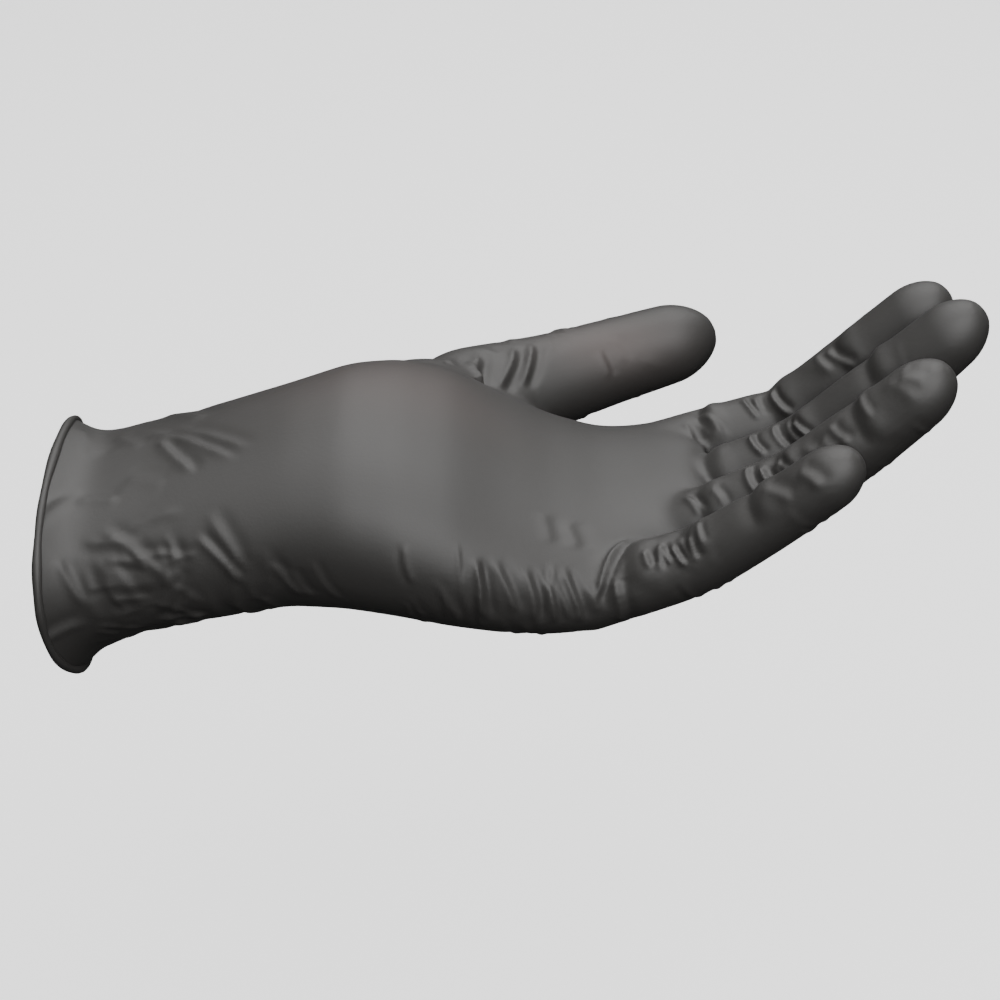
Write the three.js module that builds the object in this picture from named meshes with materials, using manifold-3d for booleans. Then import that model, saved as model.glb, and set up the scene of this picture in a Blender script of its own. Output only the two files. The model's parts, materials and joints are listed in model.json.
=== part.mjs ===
// A thin disposable dipped glove for a left hand, in the shape it takes when worn: palm up, fingers
// lightly curled, thumb held away. It is hollow from the cuff opening to every fingertip.
//
// Frame, in millimetres: the origin is the centre of the cuff opening, +X runs from the cuff to the
// fingers, +Z is the way the palm faces and +Y is the thumb side.
//
// The glove is one film with a rolled bead. It is divided here at the lines where it flexes, so each
// length between two flex lines is a thin shell of its own. At a flex line the shell on the arm's side
// ends in an open notch, and the next shell carries two curved tongues, swept about the hinge line,
// that tuck inside it and keep the joint covered while it turns.

import * as THREE from 'three';
import { ParametricGeometry } from 'three/addons/geometries/ParametricGeometry.js';
import { mergeVertices } from 'three/addons/utils/BufferGeometryUtils.js';
import Module from 'manifold-3d';

// ---------------------------------------------------------------- driving dimensions

const WALL = 0.15;              // film thickness
const NEST = 0.6;               // how much smaller in radius a shell is than the one it tucks into
const NOTCH_SPARE_DEG = 5;      // notch angle beyond the joint's travel
const TUCK_DEG = 6;             // how far a palmar tongue reaches past the notch it covers
const BACK_COVER = 0.65;        // share of a joint's travel that the tongue on the back covers

const FINGER_SIDES = 16;        // facets round a finger or thumb shell
const PALM_SIDES = 36;          // facets round the palm, wrist and bead
const CUFF_SIDES = 72;          // facets round the cuff, finer because its walls flare
const CUFF_RINGS = 9;           // rings between the opening and the cuff's hinge line
const TONGUE_STEPS = 3;         // facets along a tongue

const CUFF_PITCH_DEG = 16;      // the cuff and wrist rise towards the palm
const CUFF_LENGTH = 36;         // opening to the side-bend line of the wrist
const WRIST_LENGTH = 21;        // side-bend line to the flexing line of the wrist
const CUFF_STATIONS = [         // distance from the opening, half-width, half-thickness
  [0, 35.5, 25.5], [4, 32.6, 22.8], [10, 30.8, 21], [23, 30.2, 20.6], [36, 30.8, 21.4],
];
const WRIST_SIDE_GAP = 2.6;     // the wrist shell is this much narrower at each side, for side bending
const WRIST_START = [30.8 - WRIST_SIDE_GAP, 20.8];
const WRIST_END = [31.3, 21.3];
const WRIST_SIDE_COVER_DEG = 24;
const WRIST_FLEX_NOTCH_DEG = 19;
const WRIST_FLEX_COVER_DEG = 36;

const BEAD_RADIUS = 0.65;       // rolled edge of the cuff
const BEAD_GAP = 0.2;
const BEAD_SIDES = 8;

// Palm cross-sections: x, centre y, centre z, half-width, half-thickness, roll about X in degrees.
const PALM_STATIONS = [
  [54.8, 0, 15.7, 32, 22, 0],
  [68, 1, 17, 36, 22.5, 0],
  [80, 1.5, 16, 39, 22.5, 0],
  [92, 2, 13, 41, 21.5, 1],
  [104, 2, 8.5, 41, 18.5, 3],
  [116, 2, 4.5, 40, 16, 5],
  [128, 3, 3, 38.5, 13.5, 6],
  [133, 6.5, 3.3, 32.5, 12.4, 6],
  [137, 10, 3.8, 28.6, 11.6, 6],
  [142, 10.5, 5, 28.4, 10.8, 6],
  [147, 11, 6.5, 27, 8.5, 6],
];
const PALM_ROUNDNESS = 2.25;    // exponent of the palm's oval sections; 2 is an ellipse
const PALM_END_CROWN = 1.5;     // how far the web between the fingers bulges past the last section
const ROOT_TAPER = 0.65;        // a finger root's share of its radius where it starts, in the palm
const ROOT_SHOULDER = 0.45;     // share of the root's length over which it widens
const ROOT_THROUGH = 6;         // the hollows run this far past the openings that they make
const WRIST_THROUGH = 12;

// Each finger: hinge line of its base, swing of its plane about Z, angles of its three lengths above
// +X, distances between hinge lines (the last runs to the tip), radius of its root in the palm, how
// far its hinge lines lie towards the palm side of its axis, and the travel of each joint from rest.
const FINGERS = {
  index: {
    knuckle: [155, 30, 9.5], yaw: 3, rise: [19, 44, 47], length: [18.5, 22.5, 30],
    radius: 9.9, offset: 4, root: 18, travel: [[-18, 50], [-24, 50], [-14, 29]],
  },
  middle: {
    knuckle: [155.5, 10, 11.5], yaw: 0, rise: [30, 45, 48], length: [22.2, 25.2, 30],
    radius: 9.9, offset: 4, root: 18, travel: [[-28, 46], [-14, 56], [-8, 31]],
  },
  ring: {
    knuckle: [152.5, -9.5, 16.5], yaw: -1.5, rise: [30, 44, 47], length: [21, 22.7, 25],
    radius: 9.5, offset: 3.9, root: 18, travel: [[-28, 46], [-13, 56], [-8, 31]],
  },
  little: {
    knuckle: [134.5, -28, 14], yaw: -6, rise: [24, 41, 44], length: [14, 19.7, 27],
    radius: 8.8, offset: 3.5, root: 20, travel: [[-22, 50], [-16, 52], [-9, 29]],
  },
};

// The thumb: axis points of the fleshy base and of its knuckle, the way its pad faces, how far each
// length is curled towards the pad from the one before, and lengths between hinge lines.
const THUMB = {
  base: [62, 18, 14], knuckle: [105, 51, 9.5], pad: [0, -0.87, 0.5], curl: [17, 12],
  length: [25.5, 31.5], radius: 12.4, offset: 4.5,
  flesh: [[0, 5], [6, 12], [16, 16.5], [30, 15.4], [42, 13.2]], // distance from base, radius
  travel: [[-12, 22], [-10, 40]],
};

const FILM = { color: 0x3a3735, roughness: 0.46, metalness: 0.0 };
const BEAD_FILM = { color: 0x34312f, roughness: 0.5, metalness: 0.0 };

// ---------------------------------------------------------------- closed surfaces

const rad = THREE.MathUtils.degToRad;
const tanDeg = (a) => Math.tan(rad(a));
const wasm = await Module();
wasm.setup();

/** Merges a surface's seams and poles, drops collapsed triangles and turns its faces outwards. */
function closed(surface) {
  surface.deleteAttribute('normal');
  surface.deleteAttribute('uv');
  const merged = mergeVertices(surface, 1e-5);
  const p = merged.attributes.position;
  const index = merged.index.array;
  const kept = [];
  const [a, b, c] = [new THREE.Vector3(), new THREE.Vector3(), new THREE.Vector3()];
  let volume = 0;
  for (let i = 0; i < index.length; i += 3) {
    const [i0, i1, i2] = [index[i], index[i + 1], index[i + 2]];
    if (i0 === i1 || i1 === i2 || i2 === i0) continue;
    kept.push(i0, i1, i2);
    a.fromBufferAttribute(p, i0);
    b.fromBufferAttribute(p, i1);
    c.fromBufferAttribute(p, i2);
    volume += a.dot(b.cross(c));
  }
  if (volume < 0) {
    for (let i = 0; i < kept.length; i += 3) [kept[i + 1], kept[i + 2]] = [kept[i + 2], kept[i + 1]];
  }
  merged.setIndex(kept);
  return merged;
}

/** A surface through a list of rings. Each ring is a function of the angle round it. */
function throughRings(rings, sides) {
  const last = rings.length - 1;
  return closed(new ParametricGeometry((u, v, target) => {
    const angle = (Math.round(u * sides) % sides) / sides * 2 * Math.PI;
    const [x, y, z] = rings[Math.round(v * last)](angle);
    target.set(x, y, z);
  }, sides, last));
}

/** A thin open tube: its outside rings, its rims and its inside rings. */
function openShell(outside, inside, sides) {
  return throughRings([...outside, ...[...inside].reverse(), outside[0]], sides);
}

/** A thin tube that is open at its first ring and closed at its tip. */
function tipShell(outside, inside, sides) {
  return throughRings([...[...inside].reverse(), ...outside], sides);
}

/** A filled body through rings, closed by a point at each end. */
function filled(rings, start, end, sides) {
  return throughRings([() => start, ...rings, () => end], sides);
}

function toSolid(geometry) {
  const mesh = new wasm.Mesh({
    numProp: 3,
    vertProperties: new Float32Array(geometry.attributes.position.array),
    triVerts: new Uint32Array(geometry.index.array),
  });
  return new wasm.Manifold(mesh);
}

function toGeometry(solid) {
  const { vertProperties, triVerts, numProp } = solid.getMesh();
  const points = [];
  for (let i = 0; i < vertProperties.length; i += numProp) {
    points.push(vertProperties[i], vertProperties[i + 1], vertProperties[i + 2]);
  }
  const geometry = new THREE.BufferGeometry();
  geometry.setAttribute('position', new THREE.Float32BufferAttribute(points, 3));
  geometry.setIndex([...triVerts]);
  return geometry;
}

// ---------------------------------------------------------------- shells between hinge lines

/** A point of an oval: [across, height] at an angle, with an exponent for its roundness. */
function oval(halfWidth, halfHeight, angle, exponent = 2) {
  const [c, s] = [Math.cos(angle), Math.sin(angle)];
  const power = 2 / exponent;
  return [
    halfWidth * Math.sign(c) * Math.abs(c) ** power,
    halfHeight * Math.sign(s) * Math.abs(s) ** power,
  ];
}

/**
 * Rings of a shell whose own frame has +X along its length, +Y across it and +Z towards the palm, with
 * its first hinge line through the origin. section(x) gives [halfWidth, halfHeight, centreZ].
 * start and end say how each end meets its hinge: { axis, notch: [minus side, plus side],
 * cover: [minus, plus] } with angles in degrees; notch is the angle cut back from the hinge line on
 * each side of it, and cover is how far a tongue is swept past the hinge line, 0 for none.
 */
function hingedRings({ length, section, start, end, bodyRings, inset, slant = 0 }) {
  const rings = [];
  const at = (x, angle) => {
    const [w, h, centre] = section(x);
    const [y, z] = oval(w - inset, h - inset, angle);
    return [y, z + centre];
  };
  const reach = (hinge, x, angle) => {
    if (!hinge) return 0;
    const [y, z] = at(x, angle);
    const arm = hinge.axis === 'z' ? y : z;
    return Math.abs(arm) * tanDeg(hinge.notch[arm > 0 ? 1 : 0]);
  };
  const from = (angle) => reach(start, 0, angle) + slant * at(0, angle)[1];
  const to = (angle) => length - reach(end, length, angle);
  const swept = (hinge, x0, way, angle, share) => {
    const [y, z] = at(x0, angle);
    const acrossZ = hinge.axis === 'z';
    const arm = acrossZ ? y : z;
    const side = arm > 0 ? 1 : 0;
    const notch = rad(hinge.notch[side]);
    const turn = notch - share * (notch + rad(hinge.cover[side]));
    const r = Math.abs(arm) / Math.cos(notch);
    const x = x0 + way * r * Math.sin(turn);
    const out = Math.sign(arm) * r * Math.cos(turn);
    return acrossZ ? [x, out, z] : [x, y, out];
  };
  if (start?.cover) {
    for (let k = TONGUE_STEPS; k >= 1; k--) {
      rings.push((angle) => swept(start, 0, 1, angle, k / TONGUE_STEPS));
    }
  }
  for (let k = 0; k <= bodyRings; k++) {
    rings.push((angle) => {
      const x = THREE.MathUtils.lerp(from(angle), to(angle), k / bodyRings);
      return [x, ...at(x, angle)];
    });
  }
  if (end?.cover) {
    for (let k = 1; k <= TONGUE_STEPS; k++) {
      rings.push((angle) => swept(end, length, -1, angle, k / TONGUE_STEPS));
    }
  }
  return rings;
}

/** Notch angles, equal on both shells of a joint, for a travel measured from straight. */
function notchFor(bend) {
  return (bend + NOTCH_SPARE_DEG) / 2;
}

/** A tongue end for a joint that bends towards the palm by up to bend degrees from straight. */
function tucked(bend) {
  return { axis: 'y', notch: [0, notchFor(bend)], cover: [BACK_COVER * bend, notchFor(bend) + TUCK_DEG] };
}

/** A plain notched end for the same joint. */
function notched(bend) {
  return { axis: 'y', notch: [0, notchFor(bend)] };
}

function tubeSection(radius0, radius1, length, offset) {
  return (x) => {
    const r = THREE.MathUtils.lerp(radius0, radius1, THREE.MathUtils.clamp(x / length, 0, 1));
    return [r, r, -offset];
  };
}

/** Straight-line values between stations of [position, value, value...], held past both ends. */
function between(stations, at) {
  const s = THREE.MathUtils.clamp(at, stations[0][0], stations[stations.length - 1][0]);
  const k = Math.max(1, stations.findIndex(([x]) => x >= s));
  const [a, b] = [stations[k - 1], stations[k]];
  const share = (s - a[0]) / (b[0] - a[0]);
  return a.slice(1).map((value, i) => THREE.MathUtils.lerp(value, b[i + 1], share));
}

/** One length of a finger or thumb between two hinge lines. */
function phalanx(radius0, radius1, length, offset, bendBefore, bendAfter) {
  const shape = {
    length, section: tubeSection(radius0, radius1, length, offset),
    start: tucked(bendBefore), end: notched(bendAfter), bodyRings: 2,
  };
  return openShell(
    hingedRings({ ...shape, inset: 0 }), hingedRings({ ...shape, inset: WALL }), FINGER_SIDES);
}

/** The last length, with a rounded end. */
function fingertip(radius0, radius1, length, offset, bendBefore) {
  const dome = 1.25 * radius1;
  const neck = length - dome;
  const rings = (inset) => {
    const body = hingedRings({
      length: neck, section: tubeSection(radius0, radius1, neck, offset),
      start: tucked(bendBefore), bodyRings: 2, inset,
    });
    const domeSteps = 4;
    for (let k = 1; k <= domeSteps; k++) {
      const lift = (k / domeSteps) * Math.PI / 2;
      const r = k === domeSteps ? 0 : (radius1 - inset) * Math.cos(lift);
      const x = neck + (dome - inset) * Math.sin(lift);
      body.push((angle) => [x, r * Math.cos(angle), -offset + r * Math.sin(angle)]);
    }
    return body;
  };
  return tipShell(rings(0), rings(WALL), FINGER_SIDES);
}

// ---------------------------------------------------------------- placing

const group = new THREE.Group();

function add(name, geometry, look, frame) {
  geometry.computeVertexNormals();
  const mesh = new THREE.Mesh(geometry, new THREE.MeshStandardMaterial(look));
  mesh.name = name;
  if (frame) {
    mesh.position.copy(frame.origin);
    mesh.quaternion.setFromRotationMatrix(
      new THREE.Matrix4().makeBasis(frame.along, frame.across, frame.normal));
  }
  group.add(mesh);
}

/** A shell's frame: its hinge point, the way it runs and the way its palm side faces. */
function frameOf(origin, along, normal) {
  return { origin, along, normal, across: new THREE.Vector3().crossVectors(normal, along) };
}

/** The frame of a finger length that rises at an angle in a plane turned by yaw about Z. */
function fingerFrame(origin, yaw, rise) {
  const [cy, sy, cr, sr] = [Math.cos(rad(yaw)), Math.sin(rad(yaw)), Math.cos(rad(rise)), Math.sin(rad(rise))];
  return frameOf(
    origin, new THREE.Vector3(cr * cy, cr * sy, sr), new THREE.Vector3(-sr * cy, -sr * sy, cr));
}

/** A frame turned towards its own normal by an angle, as a joint curls. */
function curled(frame, origin, angle) {
  const [c, s] = [Math.cos(rad(angle)), Math.sin(rad(angle))];
  const along = frame.along.clone().multiplyScalar(c).addScaledVector(frame.normal, s);
  const normal = frame.normal.clone().multiplyScalar(c).addScaledVector(frame.along, -s);
  return frameOf(origin, along, normal);
}

const onward = (frame, distance) => frame.origin.clone().addScaledVector(frame.along, distance);

function inFrame(frame, rings) {
  return rings.map((ring) => (angle) => {
    const [x, y, z] = ring(angle);
    const p = frame.origin.clone().addScaledVector(frame.along, x)
      .addScaledVector(frame.across, y).addScaledVector(frame.normal, z);
    return [p.x, p.y, p.z];
  });
}

// ---------------------------------------------------------------- cuff, bead and wrist

const pitch = rad(CUFF_PITCH_DEG);
const armFrame = frameOf(
  new THREE.Vector3(),
  new THREE.Vector3(Math.cos(pitch), 0, Math.sin(pitch)),
  new THREE.Vector3(-Math.sin(pitch), 0, Math.cos(pitch)));

function cuffSection(x) {
  return [...between(CUFF_STATIONS, x), 0];
}

// The opening lies in the plane X = 0, so its rim leans back against the rising cuff.
const cuffShape = {
  length: CUFF_LENGTH, section: cuffSection, slant: Math.tan(pitch), bodyRings: CUFF_RINGS,
};
add('cuff', openShell(
  hingedRings({ ...cuffShape, inset: 0 }), hingedRings({ ...cuffShape, inset: WALL }), CUFF_SIDES),
FILM, armFrame);

// The rolled bead runs round the opening, just outside its edge.
const beadRings = [];
for (let k = 0; k <= BEAD_SIDES; k++) {
  const turn = (k % BEAD_SIDES) / BEAD_SIDES * 2 * Math.PI;
  beadRings.push((angle) => {
    const r = BEAD_RADIUS * Math.cos(turn);
    const [y, z] = oval(CUFF_STATIONS[0][1] + r, (CUFF_STATIONS[0][2] + r) / Math.cos(pitch), angle);
    return [-BEAD_GAP - BEAD_RADIUS + BEAD_RADIUS * Math.sin(turn), y, z];
  });
}
add('rolled_bead', throughRings(beadRings, PALM_SIDES), BEAD_FILM);

const wristFrame = frameOf(onward(armFrame, CUFF_LENGTH), armFrame.along, armFrame.normal);
const wristShape = {
  length: WRIST_LENGTH,
  section: (x) => {
    const share = THREE.MathUtils.clamp(x / WRIST_LENGTH, 0, 1);
    return [
      THREE.MathUtils.lerp(WRIST_START[0], WRIST_END[0], share),
      THREE.MathUtils.lerp(WRIST_START[1], WRIST_END[1], share), 0,
    ];
  },
  start: { axis: 'z', notch: [0, 0], cover: [WRIST_SIDE_COVER_DEG, WRIST_SIDE_COVER_DEG] },
  end: {
    axis: 'y', notch: [WRIST_FLEX_NOTCH_DEG, WRIST_FLEX_NOTCH_DEG],
    cover: [WRIST_FLEX_COVER_DEG, WRIST_FLEX_COVER_DEG],
  },
  bodyRings: 2,
};
add('wrist', openShell(
  hingedRings({ ...wristShape, inset: 0 }), hingedRings({ ...wristShape, inset: WALL }), PALM_SIDES),
FILM, wristFrame);

// ---------------------------------------------------------------- palm

/** Rings of the palm, with its first ring notched for the wrist's flexing line. */
function palmRings(inset) {
  const [hingeX, , hingeZ] = PALM_STATIONS[0];
  return PALM_STATIONS.map(([x, cy, cz, w, h, roll], k) => (angle) => {
    const [across, height] = oval(w - inset, h - inset, angle, k ? PALM_ROUNDNESS : 2);
    const [c, s] = [Math.cos(rad(roll)), Math.sin(rad(roll))];
    const y = cy + across * c + height * s;
    const z = cz - across * s + height * c;
    const cut = k ? 0 : Math.abs(z - hingeZ) * tanDeg(WRIST_FLEX_NOTCH_DEG);
    return [(k ? x : hingeX) + cut, y, z];
  });
}

/**
 * A straight root from inside the palm to a hinge, notched for a joint. radiusAt gives its radius. As
 * a hollow, with an inset, it runs on past the hinge so that the root is left open.
 */
function rootBody(frame, radiusAt, length, offset, bend, inset, rings) {
  const beyond = inset ? ROOT_THROUGH : 0;
  const body = inFrame(frame, hingedRings({
    length, section: (x) => [radiusAt(x), radiusAt(x), -offset], end: notched(bend),
    bodyRings: rings, inset,
  }));
  if (beyond) {
    const r = radiusAt(length) - inset;
    body.push(...inFrame(frame, [
      (angle) => [length + beyond, r * Math.cos(angle), r * Math.sin(angle) - offset]]));
  }
  const onAxis = (x) => onward(frame, x).addScaledVector(frame.normal, -offset).toArray();
  return filled(body, onAxis(0), onAxis(length + beyond), FINGER_SIDES);
}

function palmSolid(inset) {
  const rings = palmRings(inset);
  const [x0, y0, z0, w0, h0] = PALM_STATIONS[0];
  const [x1, y1, z1] = PALM_STATIONS[PALM_STATIONS.length - 1];
  if (inset) {
    rings.unshift((angle) => {
      const [y, z] = oval(w0 - inset, h0 - inset, angle);
      return [x0 - WRIST_THROUGH, y0 + y, z0 + z];
    });
  }
  const start = [inset ? x0 - WRIST_THROUGH : x0, y0, z0];
  let solid = toSolid(filled(rings, start, [x1 + PALM_END_CROWN - inset, y1, z1], PALM_SIDES));
  for (const finger of Object.values(FINGERS)) {
    const ahead = fingerFrame(new THREE.Vector3(...finger.knuckle), finger.yaw, straightRise(finger));
    const root = frameOf(onward(ahead, -finger.root), ahead.along, ahead.normal);
    const shoulder = ROOT_SHOULDER * finger.root;
    const radiusAt = (x) => finger.radius * THREE.MathUtils.lerp(ROOT_TAPER, 1, Math.min(x / shoulder, 1));
    solid = solid.add(toSolid(rootBody(
      root, radiusAt, finger.root, finger.offset, bendOf(finger, 0), inset, 4)));
  }
  const { base, baseLength } = thumbFrames();
  const stations = [...THUMB.flesh, [baseLength, THUMB.radius]];
  return solid.add(toSolid(rootBody(
    base, (x) => between(stations, x)[0], baseLength, THUMB.offset, thumbBend(0), inset, 8)));
}

/** The way a finger's root runs, which is the finger's own way when it is straight. */
function straightRise(finger) {
  return finger.rise[0] + finger.travel[0][0];
}

/** How far a finger's joint bends from straight, at the end of its travel. */
function bendOf(finger, joint) {
  const before = joint ? finger.rise[joint - 1] : straightRise(finger);
  return finger.rise[joint] - before + finger.travel[joint][1];
}

function thumbBend(joint) {
  return THUMB.curl[joint] + THUMB.travel[joint][1];
}

function thumbFrames() {
  const base = new THREE.Vector3(...THUMB.base);
  const knuckle = new THREE.Vector3(...THUMB.knuckle);
  const along = knuckle.clone().sub(base).normalize();
  const pad = new THREE.Vector3(...THUMB.pad);
  const normal = pad.addScaledVector(along, -pad.dot(along)).normalize();
  const hinge = knuckle.addScaledVector(normal, THUMB.offset);
  const baseLength = base.distanceTo(new THREE.Vector3(...THUMB.knuckle));
  const first = curled(frameOf(hinge, along, normal), hinge, THUMB.curl[0]);
  const second = curled(first, onward(first, THUMB.length[0]), THUMB.curl[1]);
  return {
    base: frameOf(base.addScaledVector(normal, THUMB.offset), along, normal), baseLength, first, second,
  };
}

add('palm', toGeometry(palmSolid(0).subtract(palmSolid(WALL))), FILM);

// ---------------------------------------------------------------- thumb and fingers

const thumb = thumbFrames();
const thumbNest = THUMB.radius - 0.8;
add('thumb_proximal', phalanx(
  thumbNest, thumbNest - 0.8, THUMB.length[0], THUMB.offset, thumbBend(0), thumbBend(1)),
FILM, thumb.first);
add('thumb_distal', fingertip(
  thumbNest - 0.8 - NEST, thumbNest - 1.6 - NEST, THUMB.length[1], THUMB.offset, thumbBend(1)),
FILM, thumb.second);

for (const [name, finger] of Object.entries(FINGERS)) {
  const r0 = finger.radius - NEST;
  const r1 = r0 - 0.2;
  const [l0, l1, l2] = finger.length;
  const knuckle = new THREE.Vector3(...finger.knuckle);
  const first = fingerFrame(knuckle, finger.yaw, finger.rise[0]);
  const second = fingerFrame(onward(first, l0), finger.yaw, finger.rise[1]);
  const third = fingerFrame(onward(second, l1), finger.yaw, finger.rise[2]);
  const bend = [0, 1, 2].map((joint) => bendOf(finger, joint));
  add(`${name}_proximal`, phalanx(r0, r1, l0, finger.offset, bend[0], bend[1]), FILM, first);
  add(`${name}_middle`, phalanx(
    r1 - NEST, r1 - NEST - 0.1, l1, finger.offset, bend[1], bend[2]), FILM, second);
  add(`${name}_distal`, fingertip(
    r1 - 2 * NEST - 0.1, r1 - 2 * NEST - 0.4, l2, finger.offset, bend[2]), FILM, third);
}

export default group;
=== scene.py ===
"""A thin film glove in its worn shape, as Blender 4.5 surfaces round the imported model.

The whole film is first shaped as one skin: a cuff and palm lofted through oval sections, a round
tube along each finger and the thumb, and small saddles of film between them, all run together by
a voxel remesh and relaxed. Folds are then raised on that skin, and last it is divided at its flex
lines into one piece per body, so that every piece meets the next with no gap. Lengths are in
millimetres until a mesh is made.
"""

import json
import logging
import math
from dataclasses import dataclass, field

import bpy
import numpy as np
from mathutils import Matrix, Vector


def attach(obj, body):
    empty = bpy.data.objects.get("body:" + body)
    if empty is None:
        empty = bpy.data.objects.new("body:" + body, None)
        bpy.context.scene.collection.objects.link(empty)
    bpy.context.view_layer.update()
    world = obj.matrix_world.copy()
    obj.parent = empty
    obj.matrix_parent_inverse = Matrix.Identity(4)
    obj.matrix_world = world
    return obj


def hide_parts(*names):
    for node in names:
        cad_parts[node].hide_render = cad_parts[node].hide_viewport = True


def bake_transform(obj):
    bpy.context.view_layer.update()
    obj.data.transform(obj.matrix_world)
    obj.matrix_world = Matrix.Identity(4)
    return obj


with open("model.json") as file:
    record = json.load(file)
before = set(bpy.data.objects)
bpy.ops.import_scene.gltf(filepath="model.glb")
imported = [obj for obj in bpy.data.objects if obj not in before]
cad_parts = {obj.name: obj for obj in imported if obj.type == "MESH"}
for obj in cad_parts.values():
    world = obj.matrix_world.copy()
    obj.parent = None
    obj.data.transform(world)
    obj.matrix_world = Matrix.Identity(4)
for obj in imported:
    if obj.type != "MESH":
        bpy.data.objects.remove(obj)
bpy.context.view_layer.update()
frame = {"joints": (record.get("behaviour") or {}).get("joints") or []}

MM = 0.001
LOG = logging.getLogger("glove")


# ---------------------------------------------------------------- small geometry helpers


def unit(v: np.ndarray) -> np.ndarray:
    """Vectors scaled to length one along the last axis."""
    v = np.asarray(v, float)
    return v / np.maximum(np.linalg.norm(v, axis=-1, keepdims=True), 1e-12)


def ease(t: np.ndarray) -> np.ndarray:
    """Smooth step: 3t^2 - 2t^3 with t held between 0 and 1."""
    t = np.clip(t, 0.0, 1.0)
    return t * t * (3.0 - 2.0 * t)


def smooth_rows(rows: np.ndarray, passes: int) -> np.ndarray:
    """Rounds the corners of a run of rows: each inner row becomes a quarter, half, quarter mean.

    Args:
        rows: (n, k) values along a run.
        passes: how many times the mean is taken.

    Returns:
        The rounded rows, with both ends kept.
    """
    out = rows.copy()
    for _ in range(passes):
        out[1:-1] = 0.25 * out[:-2] + 0.5 * out[1:-1] + 0.25 * out[2:]
    return out


def grid_faces(rows: int, columns: int, closed_rows: bool = False) -> np.ndarray:
    """Quads of a grid whose columns close on themselves.

    Args:
        rows: number of rings.
        columns: points in each ring.
        closed_rows: whether the last ring joins the first.

    Returns:
        (n, 4) vertex indices, facing out when rings turn anticlockwise about the run.
    """
    last = rows if closed_rows else rows - 1
    i, j = np.meshgrid(np.arange(last), np.arange(columns), indexing="ij")
    i, j = i.ravel(), j.ravel()
    ni, nj = (i + 1) % rows, (j + 1) % columns
    return np.stack([i * columns + j, i * columns + nj, ni * columns + nj, ni * columns + j], 1)


def mesh_object(name: str, points: np.ndarray, faces: list) -> bpy.types.Object:
    """Makes and links an object from points in millimetres and faces as index lists."""
    mesh = bpy.data.meshes.new(name)
    mesh.from_pydata((points * MM).tolist(), [], faces)
    mesh.update()
    made = bpy.data.objects.new(name, mesh)
    bpy.context.scene.collection.objects.link(made)
    return made


# ---------------------------------------------------------------- the closed bodies of the skin


@dataclass
class Limb:
    """A closed round body along a path: the palm with its cuff, a finger, or the thumb.

    path is the (n, 3) centre line, across and out the (n, 3) directions of each section's two
    half axes, and half the (n, 2) half axes themselves. A point at angle a of section i lies at
    path + across * half0 * s(cos a) + out * half1 * s(sin a), where s(c) is c raised to
    2 / roundness with its sign kept, so 2 gives an ellipse and more gives a squarer oval.
    """

    name: str
    path: np.ndarray
    across: np.ndarray
    out: np.ndarray
    half: np.ndarray
    roundness: float = 2.0
    sides: int = 48

    def __post_init__(self) -> None:
        """Works out the length along the path."""
        steps = np.linalg.norm(np.diff(self.path, axis=0), axis=1)
        self.along = np.concatenate([[0.0], np.cumsum(steps)])

    def points(self, along: np.ndarray, angle: np.ndarray) -> np.ndarray:
        """Skin points at lengths along the path and angles in radians from the across axis."""
        def at(rows: np.ndarray) -> np.ndarray:
            """Each column of rows read at the given lengths."""
            return np.stack([np.interp(along, self.along, rows[:, k]) for k in range(rows.shape[1])], -1)

        half = at(self.half)
        c, s = np.cos(angle), np.sin(angle)
        power = 2.0 / self.roundness
        u = np.sign(c) * np.abs(c) ** power * half[..., 0]
        v = np.sign(s) * np.abs(s) ** power * half[..., 1]
        return at(self.path) + unit(at(self.across)) * u[..., None] + unit(at(self.out)) * v[..., None]

    def length_at(self, place: np.ndarray) -> float:
        """The length along the path at the path's nearest point to a place."""
        return float(self.along[((self.path - place) ** 2).sum(1).argmin()])

    def body(self) -> bpy.types.Object:
        """The limb as one closed mesh, its two ends fanned to a middle point."""
        angles = np.linspace(0, 2 * math.pi, self.sides, endpoint=False)
        rings = [self.points(np.full(self.sides, s), angles) for s in self.along]
        points = np.vstack([*rings, self.path[:1], self.path[-1:]])
        n = len(self.along)
        j = np.arange(self.sides)
        k = (j + 1) % self.sides
        end = (n - 1) * self.sides
        first, last = np.full(self.sides, n * self.sides), np.full(self.sides, n * self.sides + 1)
        fans = np.stack([first, k, j, last, end + j, end + k], 1).reshape(-1, 3)
        return mesh_object(self.name, points, grid_faces(n, self.sides).tolist() + fans.tolist())


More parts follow.
